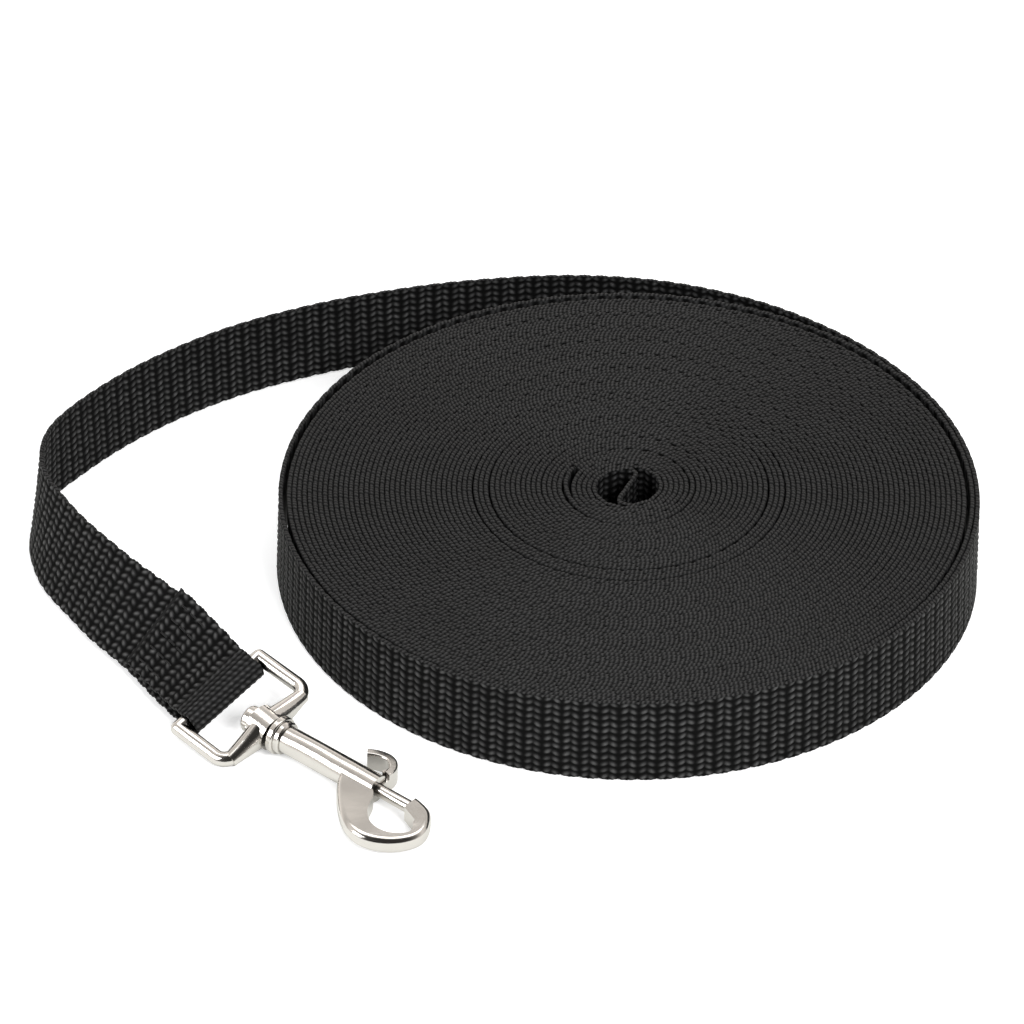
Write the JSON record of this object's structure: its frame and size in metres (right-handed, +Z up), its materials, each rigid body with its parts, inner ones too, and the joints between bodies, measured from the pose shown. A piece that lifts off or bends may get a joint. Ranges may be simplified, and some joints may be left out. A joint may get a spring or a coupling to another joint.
{
  "type": "training leash",
  "caption": "Long flat-webbing training leash wound in a flat coil, with a hand loop in its core and a swivel bolt snap sewn to its free end.",
  "frame": {"origin": "centre of the coil, on the ground", "axes": "+Z up along the coil's axis; the snap lies in front on the left (-X, -Y), and -Y is the front"},
  "size_m": [0.2607, 0.231, 0.025],
  "materials": {
    "webbing": "matte woven nylon",
    "thread": "matte polyester thread",
    "nickel_plate": "bright nickel plate on zinc casting",
    "spring_steel": "bright drawn wire"
  },
  "bodies": {
    "coil": {"webbing_coil": "webbing", "hand_loop": "webbing", "hand_loop_stitching": "thread"},
    "tail": {"webbing_tail": "webbing"},
    "strap_end": {"webbing_end": "webbing", "end_stitching": "thread"},
    "eye": {"swivel_eye": "nickel_plate"},
    "snap": {"snap_body": "nickel_plate", "swivel_stud": "nickel_plate", "return_spring": "spring_steel"},
    "bolt": {"bolt_pin": "nickel_plate", "thumb_tab": "nickel_plate"}
  },
  "joints": [
    {"name": "tail_peel", "type": "hinge", "parent": "coil", "child": "tail", "pos_m": [0.08465, 0.04428, 0.0125], "axis": [0, 0, 1], "range_deg": [-20, 0]},
    {"name": "tail_bend", "type": "hinge", "parent": "tail", "child": "strap_end", "pos_m": [-0.14649, 0.04784, 0.0125], "axis": [0, 0, 1], "range_deg": [-25, 3]},
    {"name": "eye_swing", "type": "hinge", "parent": "strap_end", "child": "eye", "pos_m": [-0.10812, -0.06832, 0.0075], "axis": [-0.6808, -0.6883, -0.2504], "range_deg": [-60, 100]},
    {"name": "swivel", "type": "hinge", "parent": "eye", "child": "snap", "pos_m": [-0.09147, -0.08334, 0.00532], "axis": [0.7821, -0.6221, -0.0349], "continuous": true},
    {"name": "bolt_slide", "type": "slide", "parent": "snap", "child": "bolt", "axis": [-0.7821, 0.6221, 0.0349], "range_m": [0, 0.01], "stiffness_N_per_m": 350, "springref_m": -0.008, "deforming": ["return_spring"]}
  ]
}
